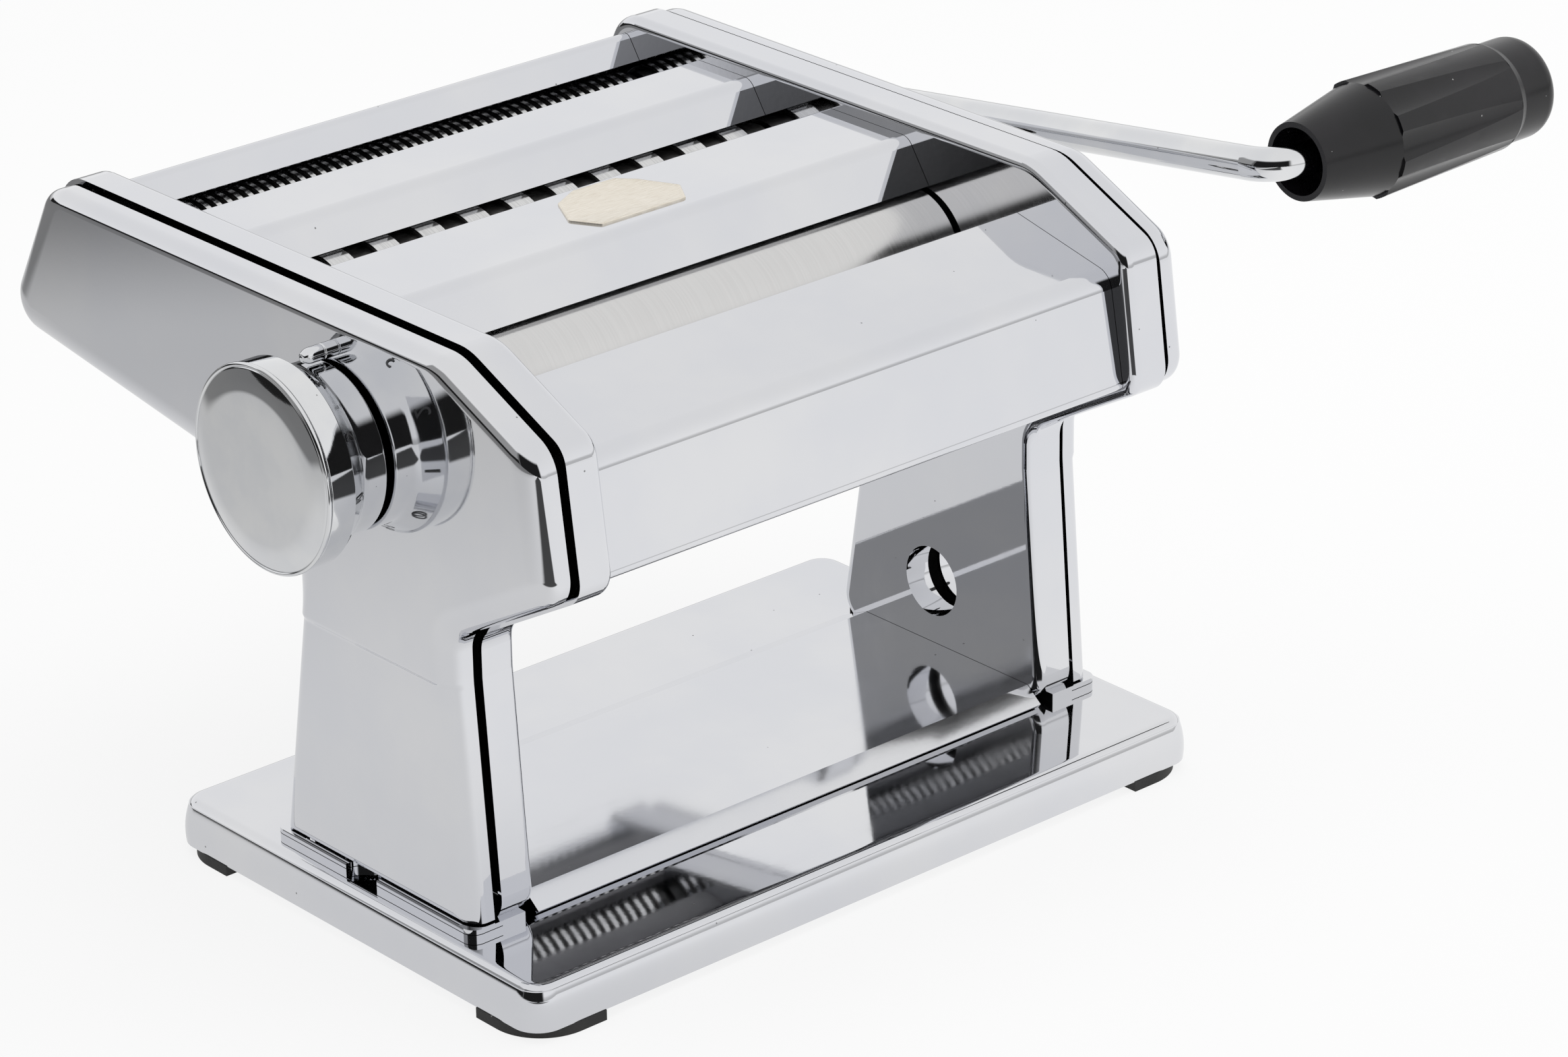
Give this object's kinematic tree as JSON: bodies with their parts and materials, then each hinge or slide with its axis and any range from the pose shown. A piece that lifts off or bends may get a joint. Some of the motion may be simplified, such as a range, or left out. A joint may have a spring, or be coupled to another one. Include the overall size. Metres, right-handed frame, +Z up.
{
  "type": "pasta machine",
  "caption": "Hand-cranked tabletop pasta machine in bright plated steel, with smooth rollers, wide and narrow cutters, a thickness knob and a plug-in crank.",
  "frame": {"origin": "on the table under the middle of the base plate", "axes": "+X along the rollers towards the crank, +Y to the back (the long overhang), +Z up"},
  "size_m": [0.318, 0.208, 0.158],
  "materials": {
    "chrome_sheet": "bright plated pressed sheet",
    "chrome_turned": "bright plated rod and knob",
    "roller_steel": "ground roller",
    "cutter_steel": "turned cutter",
    "inner_steel": "plain inner steel",
    "bush_nylon": "moulded bush",
    "comb_plastic": "moulded comb",
    "grip_plastic": "moulded black grip",
    "foot_rubber": "moulded rubber"
  },
  "bodies": {
    "frame": {"base_plate": "chrome_sheet", "foot_front_left": "foot_rubber", "foot_front_right": "foot_rubber", "foot_back_left": "foot_rubber", "foot_back_right": "foot_rubber", "side_frame_left": "chrome_sheet", "side_frame_right": "chrome_sheet", "end_cover_left": "chrome_sheet", "end_cover_right": "chrome_sheet", "front_panel": "chrome_sheet", "strip_front": "chrome_sheet", "strip_rear": "chrome_sheet", "back_panel": "chrome_sheet", "floor_pan": "chrome_sheet", "tie_rod_front": "inner_steel", "tie_rod_middle": "inner_steel", "tie_rod_rear": "inner_steel", "tie_rod_lower": "inner_steel", "tie_rod_nuts": "inner_steel", "cover_posts_left": "inner_steel", "cover_posts_right": "inner_steel", "leg_rivets": "inner_steel", "bushes_smooth_front": "bush_nylon", "bushes_wide_front": "bush_nylon", "bushes_wide_rear": "bush_nylon", "bushes_narrow_front": "bush_nylon", "bushes_narrow_rear": "bush_nylon", "comb_wide_front": "comb_plastic", "comb_wide_rear": "comb_plastic", "comb_narrow_front": "comb_plastic", "comb_narrow_rear": "comb_plastic", "carriage_rails_left": "inner_steel", "carriage_rails_right": "inner_steel", "scraper_front": "comb_plastic", "knob_bush": "bush_nylon", "index_pin": "chrome_turned"},
    "smooth_front": {"smooth_roller_front": "roller_steel", "gear_smooth_front": "inner_steel"},
    "carriage": {"bearing_block_left": "inner_steel", "bearing_block_right": "inner_steel", "carriage_rod": "inner_steel", "scraper_rear": "comb_plastic"},
    "smooth_rear": {"smooth_roller_rear": "roller_steel", "gear_smooth_rear": "inner_steel"},
    "wide_front": {"cutter_wide_front": "cutter_steel", "gear_wide_front": "inner_steel"},
    "wide_rear": {"cutter_wide_rear": "cutter_steel", "gear_wide_rear": "inner_steel"},
    "narrow_front": {"cutter_narrow_front": "cutter_steel", "gear_narrow_front": "inner_steel"},
    "narrow_rear": {"cutter_narrow_rear": "cutter_steel", "gear_narrow_rear": "inner_steel"},
    "adjuster": {"knob_spindle": "inner_steel", "adjuster_cam": "inner_steel", "knob_screw": "inner_steel"},
    "knob": {"knob_drum": "chrome_turned", "knob_cap": "chrome_turned"},
    "crank": {"crank_rod": "chrome_turned"},
    "grip": {"crank_grip": "grip_plastic"}
  },
  "joints": [
    {"name": "narrow_front_spin", "type": "hinge", "parent": "frame", "child": "narrow_front", "pos_m": [0, 0.083, 0.1235], "axis": [1, 0, 0], "continuous": true},
    {"name": "narrow_rear_spin", "type": "hinge", "parent": "frame", "child": "narrow_rear", "pos_m": [0, 0.105, 0.1235], "axis": [1, 0, 0], "continuous": true},
    {"name": "wide_front_spin", "type": "hinge", "parent": "frame", "child": "wide_front", "pos_m": [0, 0.037, 0.123], "axis": [1, 0, 0], "continuous": true},
    {"name": "wide_rear_spin", "type": "hinge", "parent": "frame", "child": "wide_rear", "pos_m": [0, 0.059, 0.123], "axis": [1, 0, 0], "continuous": true},
    {"name": "smooth_front_spin", "type": "hinge", "parent": "frame", "child": "smooth_front", "pos_m": [0, -0.0288, 0.117], "axis": [1, 0, 0], "continuous": true},
    {"name": "knob_turn", "type": "hinge", "parent": "frame", "child": "adjuster", "pos_m": [0, 0.004, 0.117], "axis": [1, 0, 0], "range_deg": [-144, 180]},
    {"name": "knob_pull", "type": "slide", "parent": "adjuster", "child": "knob", "axis": [-1, 0, 0], "range_m": [0, 0.005], "stiffness_N_per_m": 800, "springref_m": -0.004},
    {"name": "carriage_slide", "type": "slide", "parent": "frame", "child": "carriage", "axis": [0, 1, 0], "range_m": [-0.0025, 0.002]},
    {"name": "smooth_rear_spin", "type": "hinge", "parent": "carriage", "child": "smooth_rear", "pos_m": [0, 0.004, 0.117], "axis": [1, 0, 0], "continuous": true},
    {"name": "crank_pull", "type": "slide", "parent": "narrow_front", "child": "crank", "axis": [1, 0, 0], "range_m": [0, 0.02]},
    {"name": "grip_spin", "type": "hinge", "parent": "crank", "child": "grip", "pos_m": [0.16, -0.06701, 0.14397], "axis": [1, 0, 0], "continuous": true}
  ],
  "couplings": [
    {"joint": "narrow_rear_spin", "follows": "narrow_front_spin", "ratio": -1},
    {"joint": "wide_rear_spin", "follows": "wide_front_spin", "ratio": -1},
    {"joint": "smooth_rear_spin", "follows": "smooth_front_spin", "ratio": -1},
    {"joint": "knob_turn", "follows": "carriage_slide", "rad_per_m": -1256.6}
  ]
}
